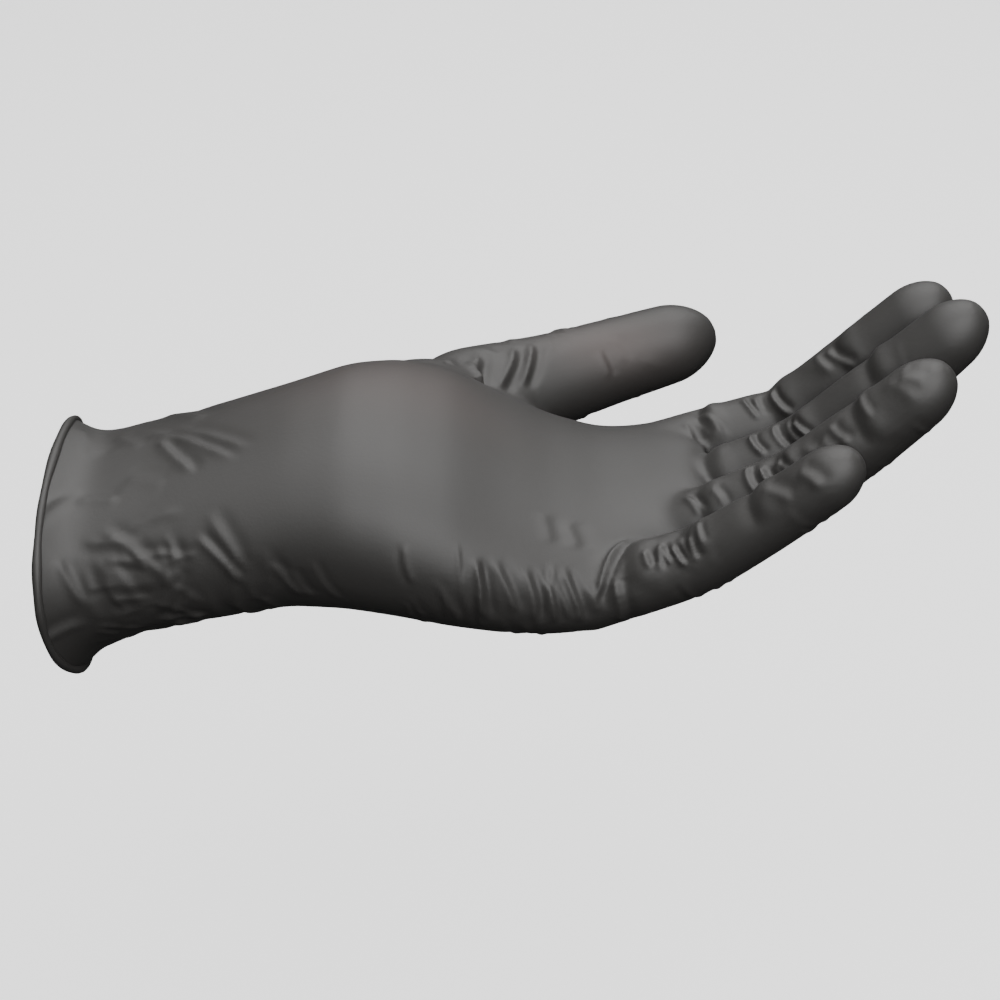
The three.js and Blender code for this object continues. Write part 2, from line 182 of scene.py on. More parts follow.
def tube(name: str, corners: np.ndarray, across: np.ndarray, radii: list, flat: float = 1.0,
         rounding: int = 60, tip_long: float = 1.4) -> Limb:
    """A finger-like limb: a round tube along a bent line with a domed tip.

    The line through the corners is cut into short equal steps and its corners are rounded. The
    radius follows the stations given, and over the last stretch it falls to nothing as
    sqrt(1 - t^2), the profile of a dome.

    Args:
        name: the limb's name.
        corners: (n, 3) corners of the centre line, root to tip.
        across: direction across the finger, for the sections' first half axis.
        radii: [share of the length, radius] stations.
        flat: the second half axis as a share of the radius.
        rounding: how many times the corners are averaged.
        tip_long: length of the dome as a share of the last radius.

    Returns:
        The limb.
    """
    steps = np.linalg.norm(np.diff(corners, axis=0), axis=1)
    run = np.concatenate([[0.0], np.cumsum(steps)])
    count = int(run[-1] / 0.8)
    s = np.linspace(0, run[-1], count)
    line = np.stack([np.interp(s, run, corners[:, k]) for k in range(3)], -1)
    line = smooth_rows(line, rounding)
    share, radius = np.array(radii, float).T
    r = smooth_rows(np.interp(s / run[-1], share, radius)[:, None], 30)[:, 0]
    left = run[-1] - s
    dome = tip_long * r[-1]
    t = np.clip(1.0 - left / dome, 0.0, 1.0)
    r = r * np.sqrt(np.maximum(1.0 - t * t, 1e-4))
    tangent = unit(np.gradient(line, axis=0))
    side = unit(across - (tangent @ across)[:, None] * tangent)
    out = np.cross(tangent, side)
    return Limb(name, line, side, out, np.stack([r, r * flat], -1))


@dataclass
class PalmShape:
    """The cuff, wrist and palm as one limb lofted through upright oval sections.

    Each station is x, y, z of the section's middle, its half width, half thickness and roll about
    X in degrees, positive when the little finger's side rises.
    """

    stations: tuple = (
        (-6, 0, -1.7, 37.5, 27.0, 0), (0, 0, 0, 35.6, 25.6, 0), (3, 0, 0.4, 32.2, 22.4, 0),
        (8, 0, 1.4, 30.4, 20.6, 0), (22, 0, 5.6, 30.0, 20.2, 0), (36, 0, 9.5, 30.5, 20.8, 0),
        (54.8, 0, 15.0, 32.2, 21.4, 0), (68, 1, 16.8, 36.2, 22.6, 0), (80, 1.5, 16, 39.2, 22.5, 0),
        (92, 2, 13, 41.2, 21.5, 1), (104, 2, 8.6, 41.4, 18.8, 3), (116, 2, 5, 40.6, 16.4, 5),
        (128, 2.6, 3.4, 39.4, 14, 6), (136, 6.0, 3.8, 35.6, 12.6, 6), (142, 9.6, 5, 31.8, 11.6, 6),
        (147, 10.4, 6.6, 30.5, 10.4, 6), (151, 10.5, 8, 27.5, 8.6, 6), (154, 10.5, 9, 22, 5.5, 6),
    )
    roundness: float = 2.25

    def limb(self) -> Limb:
        """The limb: stations joined by rounded curves, section by section."""
        rows = np.array(self.stations, float)
        x = np.arange(rows[0, 0], rows[-1, 0] + 0.01, 1.0)
        fine = np.stack([np.interp(x, rows[:, 0], rows[:, k]) for k in range(1, 6)], -1)
        fine = smooth_rows(fine, 14)
        roll = np.radians(fine[:, 4])
        zero = np.zeros_like(roll)
        across = np.stack([zero, np.cos(roll), -np.sin(roll)], -1)
        out = np.stack([zero, np.sin(roll), np.cos(roll)], -1)
        path = np.column_stack([x, fine[:, 0], fine[:, 1]])
        return Limb("palm_skin", path, across, out, fine[:, 2:4], self.roundness, 96)


# ---------------------------------------------------------------- the skeleton under the skin


@dataclass
class Bone:
    """One stretch of a finger: its body, hinge point, direction, palm-side normal and length."""

    body: str
    hinge: np.ndarray
    along: np.ndarray
    palmar: np.ndarray
    length: float


@dataclass
class Finger:
    """A finger or thumb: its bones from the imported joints, and its film's radii.

    tip is the last bone's length and last_turn its angle from the one before it, in degrees. back
    is how far the film's centre line lies behind the hinges, towards the back of the hand. root is
    how far the film starts before the first hinge, and moved shifts the whole centre line. radii
    are (share of length, radius) stations, and flat is the thickness as a share of the width.
    """

    name: str
    joint_names: tuple
    tip: float
    last_turn: float
    back: float
    root: float
    radii: tuple
    flat: float = 0.97
    moved: tuple = (0, 0, 0)
    bones: list = field(default_factory=list)

    def build(self) -> Limb:
        """Reads the hinges, works out the bones and returns the film tube round them."""
        joints = {j["name"]: j for j in frame["joints"]}
        own = [joints[n] for n in self.joint_names]
        hinges = [np.array(j["pos_m"]) / MM for j in own]
        axis = unit(np.array(own[0]["axis"], float))
        if self.name == "thumb":
            axis = -axis
        ways = [unit(b - a) for a, b in zip(hinges[:-1], hinges[1:])]
        turn = math.radians(self.last_turn)
        before = ways[-1]
        ways.append(unit(before * math.cos(turn) + np.cross(axis, before) * math.sin(turn)))
        lengths = [float(np.linalg.norm(b - a)) for a, b in zip(hinges[:-1], hinges[1:])] + [self.tip]
        self.bones = [
            Bone(j["child"], h, w, unit(np.cross(axis, w)), n)
            for j, h, w, n in zip(own, hinges, ways, lengths)
        ]
        line = [b.hinge - b.palmar * self.back for b in self.bones]
        first, end = self.bones[0], self.bones[-1]
        line = [line[0] - first.along * self.root, *line,
                end.hinge + end.along * end.length - end.palmar * self.back]
        return tube(f"{self.name}_skin", np.array(line) + np.array(self.moved), -axis,
                    [list(r) for r in self.radii], self.flat)


def fingers() -> list[Finger]:
    """The four fingers and the thumb, with their radii as (share of length, radius) stations."""
    def joints(name: str) -> tuple:
        """Joint names of a finger, root to tip."""
        return (f"{name}_knuckle", f"{name}_middle_joint", f"{name}_tip_joint")

    return [
        Finger("index", joints("index"), 29, 3, 4, 16,
               ((0, 10.4), (0.2, 9.9), (0.36, 9.1), (0.56, 9.1), (0.75, 8.9), (0.9, 8.2), (1, 7.7)),
               moved=(0, 0, 1.0)),
        Finger("middle", joints("middle"), 30, 3, 4, 16,
               ((0, 10.4), (0.2, 9.8), (0.38, 9.0), (0.58, 9.0), (0.75, 8.8), (0.9, 8.1), (1, 7.6))),
        Finger("ring", joints("ring"), 23.5, 3, 3.9, 16,
               ((0, 10.0), (0.2, 9.4), (0.4, 8.8), (0.6, 8.7), (0.8, 8.2), (1, 7.6))),
        Finger("little", joints("little"), 27, 3, 3.5, 14,
               ((0, 9.2), (0.2, 8.6), (0.4, 8.0), (0.6, 7.7), (0.8, 7.5), (1, 7.1))),
    ]


def thumb() -> Finger:
    """The thumb, thick where it leaves the ball of the palm."""
    return Finger("thumb", ("thumb_knuckle", "thumb_tip_joint"), 30.5, 12, 4.5, 42,
                  ((0, 2.0), (0.08, 7.5), (0.18, 12.5), (0.3, 15.4), (0.42, 13.6), (0.55, 11.9), (0.7, 11.0),
                   (0.88, 10.2), (1, 9.2)), moved=(0, 0.5, -2.2))


# ---------------------------------------------------------------- the film as one skin


@dataclass
class Saddle:
    """A small round filling between two limbs, which the relaxing turns into a web of film."""

    name: str
    centre: tuple
    half: tuple
    yaw: float = 0.0

    def body(self) -> bpy.types.Object:
        """An ellipsoid: centre plus half axes times the unit sphere, turned by yaw about Z."""
        u, v = np.meshgrid(np.linspace(0.02, math.pi - 0.02, 20),
                           np.linspace(0, 2 * math.pi, 32, endpoint=False), indexing="ij")
        ball = np.stack([-np.cos(u), np.sin(u) * np.cos(v), np.sin(u) * np.sin(v)], -1).reshape(-1, 3)
        points = ball * np.array(self.half)
        a = math.radians(self.yaw)
        turn = np.array([[math.cos(a), -math.sin(a), 0], [math.sin(a), math.cos(a), 0], [0, 0, 1]])
        points = points @ turn.T + np.array(self.centre)
        faces = grid_faces(20, 32).tolist()
        faces.append(list(range(31, -1, -1)))
        faces.append(list(range(19 * 32, 20 * 32)))
        return mesh_object(self.name, points, faces)


@dataclass
class Skin:
    """The film's outer surface: points, quads and the neighbours used for relaxing."""

    points: np.ndarray
    faces: np.ndarray

    def edges(self) -> np.ndarray:
        """Each edge once, as (n, 2) indices."""
        pairs = np.concatenate([self.faces[:, [k, (k + 1) % 4]] for k in range(4)])
        pairs.sort(axis=1)
        return np.unique(pairs, axis=0)

    def relax(self, passes: int, share: np.ndarray | float, swell: float = -0.53) -> None:
        """Moves points towards the mean of their neighbours, then partly back, so form stays.

        Args:
            passes: number of pairs of moves.
            share: how much of the move each point takes.
            swell: size of the move back; 0 leaves it out.
        """
        a, b = self.edges().T
        n = len(self.points)
        count = np.maximum(np.bincount(a, minlength=n) + np.bincount(b, minlength=n), 1)
        take = np.broadcast_to(np.asarray(share, float), (n,))[:, None]
        for _ in range(passes):
            for size in (0.5, swell):
                if size == 0.0:
                    continue
                mean = np.stack([
                    np.bincount(a, self.points[b, k], n) + np.bincount(b, self.points[a, k], n)
                    for k in range(3)], -1) / count[:, None]
                self.points = self.points + (mean - self.points) * size * take

    def normals(self) -> np.ndarray:
        """Area-weighted point normals: each quad adds the cross product of its diagonals."""
        p = self.points[self.faces]
        cross = np.cross(p[:, 2] - p[:, 0], p[:, 3] - p[:, 1])
        n = len(self.points)
        total = np.zeros((n, 3))
        for c in range(4):
            for k in range(3):
                total[:, k] += np.bincount(self.faces[:, c], cross[:, k], n)
        return unit(total)


def joined_skin(bodies: list, voxel: float) -> Skin:
    """Runs overlapping closed bodies together into one skin of even quads.

    Args:
        bodies: the closed mesh objects; they are removed.
        voxel: quad size in millimetres.

    Returns:
        The skin, quads only.
    """
    points, faces, base = [], [], 0
    for b in bodies:
        co = np.zeros(len(b.data.vertices) * 3)
        b.data.vertices.foreach_get("co", co)
        points.append(co.reshape(-1, 3) / MM)
        faces += [[base + v for v in f.vertices] for f in b.data.polygons]
        base += len(b.data.vertices)
        bpy.data.objects.remove(b)
    whole = mesh_object("skin_bodies", np.vstack(points), faces)
    remesh = whole.modifiers.new("run_together", "REMESH")
    remesh.mode = "VOXEL"
    remesh.voxel_size = voxel * MM
    shaped = whole.evaluated_get(bpy.context.evaluated_depsgraph_get()).to_mesh()
    co = np.zeros(len(shaped.vertices) * 3)
    shaped.vertices.foreach_get("co", co)
    corner = np.zeros(len(shaped.loops), np.int32)
    shaped.loops.foreach_get("vertex_index", corner)
    quads = corner.reshape(-1, 4)
    bpy.data.objects.remove(whole)
    return Skin(co.reshape(-1, 3) / MM, quads.astype(np.int64))


# ---------------------------------------------------------------- folds


@dataclass
class Fold:
    """A fold in the film: a rounded ridge with a valley along one side.

    points are places on the skin that the fold runs through. width is the ridge's half width,
    height how far it stands up, and valley the depth beside it as a share of the height. side is
    +1 or -1 for the side on which the valley lies.
    """

    points: np.ndarray
    width: float
    height: float
    valley: float = 0.7
    side: float = 1.0


def raise_folds(skin: Skin, folds: list[Fold]) -> None:
    """Pushes the skin out and in along the folds.

    For each point the nearest place on a fold's line is found with the part along the skin's
    normal left out. With v the signed distance across the line, the push is
    height * (exp(-|v/w|^1.6) - valley * exp(-((v - 1.6 w) / 1.2 w)^2)), faded to nothing over the
    first and last quarter of the line.

    Args:
        skin: the film; its points are changed.
        folds: the folds.
    """
    normal = skin.normals()
    push = np.zeros(len(skin.points))
    for fold in folds:
        line = fold.points
        reach = 4.5 * fold.width + 1.0
        lo, hi = line.min(0) - reach, line.max(0) + reach
        near = np.flatnonzero(((skin.points > lo) & (skin.points < hi)).all(1))
        if not len(near):
            continue
        p, n = skin.points[near], normal[near]
        steps = np.linalg.norm(np.diff(line, axis=0), axis=1)
        run = np.concatenate([[0.0], np.cumsum(steps)])
        best = np.full(len(near), 1e9)
        across, share = np.zeros(len(near)), np.zeros(len(near))
        for k in range(len(line) - 1):
            a, way = line[k], (line[k + 1] - line[k]) / max(steps[k], 1e-9)
            t = np.clip((p - a) @ way, 0.0, steps[k])
            off = p - (a + t[:, None] * way)
            rise = (off * n).sum(1)
            flat = off - rise[:, None] * n
            size = np.linalg.norm(flat, axis=1) + np.where(np.abs(rise) > 6.0, 1e6, 0.0)
            sign = np.sign((flat * np.cross(n, way)).sum(1) + 1e-12)
            closer = size < best
            best = np.where(closer, size, best)
            across = np.where(closer, size * sign, across)
            share = np.where(closer, (run[k] + t) / run[-1], share)
        w = fold.width
        v = across * fold.side
        fade = ease(share * 4.0) * ease((1.0 - share) * 4.0)
        shape = np.exp(-np.abs(v / w) ** 1.6) - fold.valley * np.exp(-((v - 1.6 * w) / (1.2 * w)) ** 2)
        push[near] += np.where(best < reach, fold.height * fade * shape, 0.0)
    skin.points = skin.points + normal * push[:, None]


@dataclass
class FoldField:
    """A seeded scatter of folds over a stretch of a limb, such as the crumples of the cuff.

    along and around are the ranges of the folds' middles, in millimetres and degrees; way is
    the folds' direction in degrees from the limb's length, and spread how far it strays.
    """

    along: tuple
    around: tuple
    count: int
    way: float
    spread: float
    length: tuple = (8.0, 16.0)
    width: tuple = (0.8, 1.5)
    height: tuple = (0.3, 0.6)
    bow: float = 0.12

    def folds(self, limb: Limb, rng: np.random.Generator) -> list[Fold]:
        """The folds, as short bowed lines laid on the limb."""
        made = []
        for _ in range(self.count):
            s0 = rng.uniform(*self.along)
            a0 = math.radians(rng.uniform(*self.around))
            way = math.radians(self.way + self.spread * rng.uniform(-1, 1))
            reach = rng.uniform(*self.length)
            here = limb.points(np.array([s0, s0]), np.array([a0 - 0.05, a0 + 0.05]))
            per_radian = max(float(np.linalg.norm(here[1] - here[0])) / 0.1, 3.0)
            t = np.linspace(-0.5, 0.5, 6)
            bow = self.bow * rng.uniform(-1, 1) * reach * (1 - 4 * t * t)
            run = t * reach
            along = s0 + run * math.cos(way) - bow * math.sin(way)
            around = a0 + (run * math.sin(way) + bow * math.cos(way)) / per_radian
            made.append(Fold(limb.points(along, around), rng.uniform(*self.width),
                             rng.uniform(*self.height), 0.6, rng.choice([-1.0, 1.0])))
        return made


@dataclass(frozen=True)
class Gather:
    """Creases side by side across a limb, as the film gathers at a bend.

    Their middles lie evenly from start to end, in millimetres along the limb from a hinge. Each
    crosses the limb from the angle begin to the angle finish, in degrees from the thumb's side
    towards the palm side, with its far end lean millimetres further along and its middle bowed by
    bow. stray is how unevenly they lie, as a share of the room between two of them, and wander
    how many millimetres each may turn or bend from its fellows.
    """

    start: float
    end: float
    count: int
    begin: float
    finish: float
    lean: float = 0.0
    bow: float = 0.0
    width: float = 0.75
    height: float = 0.45
    stray: float = 0.45
    wander: float = 2.0

    def folds(self, limb: Limb, hinge: float, rng: np.random.Generator) -> list[Fold]:
        """The creases on a limb whose hinge is at the given length along it."""
        made = []
        room = (self.end - self.start) / max(self.count - 1, 1)
        for middle in np.linspace(self.start, self.end, self.count):
            first, last = rng.uniform(0.0, 0.3), 1.0 - rng.uniform(0.0, 0.3)
            t = np.linspace(first, last, 10)
            at = hinge + middle + room * self.stray * rng.uniform(-1, 1)
            slope = self.lean * rng.uniform(0.5, 1.5) + self.wander * rng.uniform(-1, 1)
            bend = self.bow + 0.6 * self.wander * rng.uniform(-1, 1)
            along = at + slope * (t - 0.5) + bend * (1 - (2 * t - 1) ** 2)
            angle = np.radians(self.begin + (self.finish - self.begin) * t)
            made.append(Fold(limb.points(along, angle), self.width * rng.uniform(0.85, 1.2),
                             self.height * rng.uniform(0.45, 1.2), 0.8))
        return made


# ---------------------------------------------------------------- the rolled rim


@dataclass
class Rim:
    """The cuff's rim: how far it leans out of its plane, and the rolled bead on it.

    The lean moves rim points along X by -near * c when they face the palm side below (c is the
    cosine to that direction) and by hook where they face down and away, fading to nothing over
    reach from the rim.
    """

    near: float = 2.2
    hook: float = 5.0
    reach: float = 24.0
    bead: float = 1.05

    def lean(self, points: np.ndarray) -> np.ndarray:
        """Points moved along X by the rim's lean."""
        facing = unit(np.column_stack([points[:, 1] / 1.35, points[:, 2]]))
        front = facing @ np.array([-0.72, 0.69])
        below = facing @ np.array([-0.45, -0.89])
        fade = 1.0 - ease(np.clip(points[:, 0], 0, None) / self.reach)
        shift = (-self.near * np.maximum(front, 0) ** 1.5 + self.hook * np.maximum(below, 0) ** 4) * fade
        return points + np.column_stack([shift, np.zeros(len(points)), np.zeros(len(points))])

    def build(self, limb: Limb) -> bpy.types.Object:
        """The rolled bead: a small round profile carried round the rim, a little uneven."""
        count, sides = 220, 12
        turn = np.linspace(0, 2 * math.pi, count, endpoint=False)
        start = float(np.interp(0.0, limb.path[:, 0], limb.along))
        ring = limb.points(np.full(count, start), turn)
        ring[:, 0] = 0.0
        outward = unit(ring - ring.mean(0))
        ring = self.lean(ring)
        way = unit(np.roll(ring, -1, 0) - np.roll(ring, 1, 0))
        outward = unit(outward - (outward * way).sum(1, keepdims=True) * way)
        third = np.cross(way, outward)
        size = self.bead * (1 + 0.12 * np.sin(5 * turn + 0.6) + 0.08 * np.sin(13 * turn))
        a = np.linspace(0, 2 * math.pi, sides, endpoint=False)
        points = (ring[:, None] + size[:, None, None] * (
            outward[:, None] * np.cos(a)[None, :, None] + third[:, None] * np.sin(a)[None, :, None]))
        return mesh_object("rolled_rim", points.reshape(-1, 3),
                           grid_faces(count, sides, closed_rows=True).tolist())


# ---------------------------------------------------------------- division into pieces


@dataclass
class Zone:
    """One film piece: its CAD node, its bodies, where it bends and where the next piece starts.

    bodies has one name for a piece that only rides. begin and finish are points in millimetres that mark
    where the piece's bend from the first body to the second starts and ends.
    """

    name: str
    node: str
    bodies: tuple
    begin: np.ndarray | None = None
    finish: np.ndarray | None = None


@dataclass
class DigitCuts:
    """Where a digit's film is divided, in millimetres along its bones from each hinge.

    knuckle is the bend zone at the first hinge and bends the zones at the later ones. splits are
    where one piece ends and the next starts, along the first bone and the second. slant turns
    the knuckle zone's planes about the digit's palm-side direction, in degrees.
    """

    knuckle: tuple
    bends: tuple
    splits: tuple
    slant: float = 0.0


@dataclass
class FilmGlove:
    """The film of the whole glove, from its shape to its divided, dressed pieces."""

    voxel: float = 0.6
    wall: float = 0.28
    seed: int = 7
    palm: PalmShape = field(default_factory=PalmShape)
    rim: Rim = field(default_factory=Rim)

    def shape(self) -> Skin:
        """The relaxed skin before its folds: bodies run together, webs softened, rim leaned."""
        self.digits = [*fingers(), thumb()]
        self.limbs = {"palm": self.palm.limb()}
        for digit in self.digits:
            self.limbs[digit.name] = digit.build()
        bodies = [limb.body() for limb in self.limbs.values()]
        bodies += [s.body() for s in self.webs()]
        skin = joined_skin(bodies, self.voxel)
        skin.relax(14, 1.0)
        soft = np.zeros(len(skin.points))
        for centre, reach in self.soft_spots():
            away = np.linalg.norm(skin.points - np.array(centre), axis=1)
            soft = np.maximum(soft, ease(1.6 * (1.0 - away / reach)))
        skin.relax(70, soft, 0.0)
        skin.relax(6, 1.0)
        return skin

    def webs(self) -> list[Saddle]:
        """Fillings between the finger roots and between the thumb and the palm."""
        return [
            Saddle("index_middle_web", (140, 20, 5), (8.5, 8, 6)),
            Saddle("middle_ring_web", (139, 0, 7), (8.5, 8, 6)),
            Saddle("ring_little_web", (127, -19, 7), (8, 8, 6.5)),
            Saddle("thumb_web", (98, 36, 9), (16, 12, 8.5), 35),
            Saddle("thumb_ball", (80, 33, 13), (24, 15, 14), 28),
        ]

    def soft_spots(self) -> list[tuple]:
        """Places where the unions are relaxed more, as (centre, reach)."""
        return [
            ((147, 20, 6), 8), ((146, 0, 9), 8), ((134, -19, 10), 9), ((100, 38, 10), 22),
            ((84, 40, 14), 26), ((146, 28, 6), 13), ((146, 10, 8), 13), ((143, -10, 12), 13),
            ((126, -28, 9), 14), ((68, 22, 16), 24), ((66, 36, 6), 20), ((84, 48, 4), 18),
        ]

    def open_cuff(self, skin: Skin) -> Skin:
        """Cuts the skin open at X = 0 and sets the cut edge exactly there."""
        middle = skin.points[skin.faces].mean(1)
        faces = skin.faces[middle[:, 0] > 0.0]
        used, back = np.unique(faces, return_inverse=True)
        points = skin.points[used]
        faces = back.reshape(-1, 4)
        points[points[:, 0] < 0.35, 0] = 0.0
        return Skin(points, faces)

    def crease(self, skin: Skin) -> None:
        """Raises the creases gathered at each bend, then the scattered folds of each stretch."""
        rng = np.random.default_rng(self.seed)
        folds = []
        for digit in self.digits:
            limb = self.limbs[digit.name]
            for bone, gathers in zip(digit.bones, DIGIT_GATHERS[digit.name]):
                for gather in gathers:
                    folds += gather.folds(limb, limb.length_at(bone.hinge), rng)
        for name, gathers in PALM_GATHERS.items():
            for gather in gathers:
                folds += gather.folds(self.limbs["palm"], self.palm_length(name), rng)
        for name, stretch in FOLD_FIELDS:
            folds += stretch.folds(self.limbs[name], rng)
        raise_folds(skin, folds)
        skin.relax(1, 0.6)

    def palm_length(self, joint: str) -> float:
        """The length along the palm's limb at a joint's hinge."""
        hinge = next(j["pos_m"] for j in frame["joints"] if j["name"] == joint)
        limb = self.limbs["palm"]
        return float(np.interp(hinge[0] / MM, limb.path[:, 0], limb.along))

    def divide(self, skin: Skin) -> tuple[np.ndarray, list[Zone]]:
        """Sorts the skin's quads into pieces.

        A quad belongs to a digit when it is nearest that digit's centre line and past the plane
        where the digit's knuckle zone begins; the bones' split planes then give its piece. The
        rest is cuff, wrist or palm by its place along X.

        Args:
            skin: the finished film.

        Returns:
            The piece number of each quad, and the pieces.
        """
        middle = skin.points[skin.faces].mean(1)
        zones, label = self.trunk_zones(middle)
        owner = self.nearest_digit(middle)
        for k, digit in enumerate(self.digits):
            cuts = CUTS[digit.name]
            first = digit.bones[0]
            way = self.slanted(first, cuts.slant)
            past = (middle - first.hinge) @ way > cuts.knuckle[0] - SHARED_EDGE
            mine = (owner == k) & past
            piece = len(zones)
            zones.append(Zone(f"{digit.name}_knuckle_film", first.body, ("palm", first.body),
                              first.hinge + way * cuts.knuckle[0], first.hinge + way * cuts.knuckle[1]))
            label[mine] = piece
            for before, bone, bend, split in zip(digit.bones, digit.bones[1:], cuts.bends, cuts.splits):
                mine = mine & ((middle - before.hinge) @ before.along > split)
                piece = len(zones)
                mid = unit(before.along + bone.along)
                zones.append(Zone(f"{bone.body}_film", bone.body, (before.body, bone.body),
                                  bone.hinge + mid * bend[0], bone.hinge + mid * bend[1]))
                label[mine] = piece
        return label, zones

    @staticmethod
    def slanted(bone: Bone, degrees: float) -> np.ndarray:
        """The bone's direction turned about its palm-side direction."""
        a = math.radians(degrees)
        return bone.along * math.cos(a) + np.cross(bone.palmar, bone.along) * math.sin(a)

    def nearest_digit(self, places: np.ndarray) -> np.ndarray:
        """Number of the digit whose centre line is nearest each place, or -1 beyond reach."""
        best = np.full(len(places), 1e9)
        owner = np.full(len(places), -1)
        for k, digit in enumerate(self.digits):
            limb = self.limbs[digit.name]
            line, radius = limb.path[::3], np.maximum(limb.half[::3, 0], 5.0)
            square = (places ** 2).sum(1)[:, None] + (line ** 2).sum(1) - 2 * places @ line.T
            ratio = (np.sqrt(np.maximum(square, 0.0)) / radius).min(1)
            closer = ratio < best
            best = np.where(closer, ratio, best)
            owner = np.where(closer, k, owner)
        return np.where(best < DIGIT_REACH, owner, -1)

    def trunk_zones(self, middle: np.ndarray) -> tuple[list[Zone], np.ndarray]:
        """The cuff, wrist and two palm pieces, and which of them each place is in."""
        joints = {j["name"]: j for j in frame["joints"]}
        first = np.array(joints["wrist_deviation"]["pos_m"]) / MM
        second = np.array(joints["wrist_flexion"]["pos_m"]) / MM
        pitch = unit(first)
        along_x = np.array([1.0, 0.0, 0.0])
        zones = [
            Zone("cuff_film", "cuff", ("cuff", "wrist"), first - pitch * 8.0, first + pitch * 7.0),
            Zone("wrist_film", "wrist", ("wrist", "palm"), second - along_x * 7.5, second + along_x * 7.5),
            Zone("palm_film", "palm", ("palm",)),
            Zone("hand_back_film", "palm", ("palm",)),
        ]
        line = self.limbs["palm"].path
        behind = middle[:, 2] < np.interp(middle[:, 0], line[:, 0], line[:, 2])
        x = middle[:, 0]
        label = np.where(x < WRIST_STARTS, 0, np.where(x < PALM_STARTS, 1, 2 + behind))
        return zones, label

    def pieces(self, skin: Skin, finish: "FilmFinish") -> list[bpy.types.Object]:
        """Makes each piece as a thin closed film: outer layer, inner layer and the rim between.

        The inner layer lies wall inside the outer one along the skin's normals. Pieces share the
        points and the normals of the whole skin along their edges, so no seam shows.
        """
        label, zones = self.divide(skin)
        normal = skin.normals()
        material = finish.build()
        made = []
        for number, zone in enumerate(zones):
            faces = skin.faces[label == number]
            used, back = np.unique(faces, return_inverse=True)
            faces = back.reshape(-1, 4)
            outer, n = skin.points[used], normal[used]
            count = len(used)
            edge = open_edges(faces)
            rim = np.stack([edge[:, 1], edge[:, 0], edge[:, 0] + count, edge[:, 1] + count], 1)
            quads = np.vstack([faces, faces[:, ::-1] + count, rim])
            piece = mesh_object(zone.name, np.vstack([outer, outer - n * self.wall]), quads.tolist())
            mesh = piece.data
            mesh.shade_smooth()
            mesh.normals_split_custom_set_from_vertices(np.vstack([n, -n]).tolist())
            tone = mesh.attributes.new("film_stretch", "FLOAT", "POINT")
            stretch = self.stretch(outer)
            tone.data.foreach_set("value", np.concatenate([stretch, stretch]).astype(np.float32))
            mesh.materials.append(material)
            self.place(piece, zone)
            made.append(piece)
            LOG.info("%s: %d quads", zone.name, len(quads))
        return made

    def place(self, piece: bpy.types.Object, zone: Zone) -> None:
        """Rides a piece on its one body, or bakes its placement in when it spans two, and hides the CAD part
        it stands for.
        """
        if len(zone.bodies) == 1:
            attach(piece, zone.bodies[0])
        else:
            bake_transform(piece)
        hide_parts(zone.node)

    def stretch(self, points: np.ndarray) -> np.ndarray:
        """How thin the film is drawn, 0 to 1: highest over the ball of the thumb and its pad."""
        value = np.zeros(len(points))
        for centre, half, most in STRETCHED:
            away = np.linalg.norm((points - np.array(centre)) / np.array(half), axis=1)
            value = np.maximum(value, most * np.exp(-away ** 2))
        return value


def open_edges(faces: np.ndarray) -> np.ndarray:
    """The edges that only one quad has, as (n, 2) indices in that quad's own order."""
    pairs = np.concatenate([faces[:, [k, (k + 1) % 4]] for k in range(4)])
    key = np.sort(pairs, axis=1)
    _, first, times = np.unique(key, axis=0, return_index=True, return_counts=True)
    return pairs[first[times == 1]]


# What the film does at each hinge: gathers for the knuckle, the middle joint and the tip joint.
# A pinch is one broad valley, so that the film stands fuller between the joints.
PINCH = Gather(0, 0, 1, 10, 200, width=2.4, height=-1.1, stray=0.0, wander=0.5)
SOFT_PINCH = Gather(0, 0, 1, 20, 190, width=2.6, height=-0.7, stray=0.0, wander=0.5)
ROOT = Gather(-4, 2, 3, 75, 150, lean=4, bow=2, height=0.5)
MIDDLE_JOINT = Gather(-5, 5, 4, 62, 155, lean=4, bow=-1.5, height=0.85)
TIP_JOINT = Gather(-3, 4, 2, 65, 158, lean=5, bow=-1.5, width=1.1, height=0.6)
CLOSE_JOINT = Gather(-9, 6, 7, 80, 155, lean=1.5, height=0.7)
SLACK = Gather(9, 17, 2, 85, 165, lean=8, bow=1, width=1.5, height=0.45)
DIGIT_GATHERS = {
    "index": ((PINCH, ROOT), (PINCH, MIDDLE_JOINT), (PINCH, TIP_JOINT)),
    "middle": ((SOFT_PINCH,), (PINCH, MIDDLE_JOINT), (SOFT_PINCH,)),
    "ring": ((PINCH, ROOT), (PINCH, MIDDLE_JOINT, SLACK), (SOFT_PINCH, TIP_JOINT, SLACK)),
    "little": ((SOFT_PINCH,), (SOFT_PINCH, CLOSE_JOINT), (SOFT_PINCH, SLACK)),
    # long slanting creases where the thumb leaves the palm, and a faint one at its joint
    "thumb": ((Gather(-24, 0, 5, 20, 105, lean=-16, bow=3, width=1.2, height=0.9, wander=5),),
              (Gather(-4, 4, 2, 50, 115, lean=3, width=1.1, height=0.26),)),
}
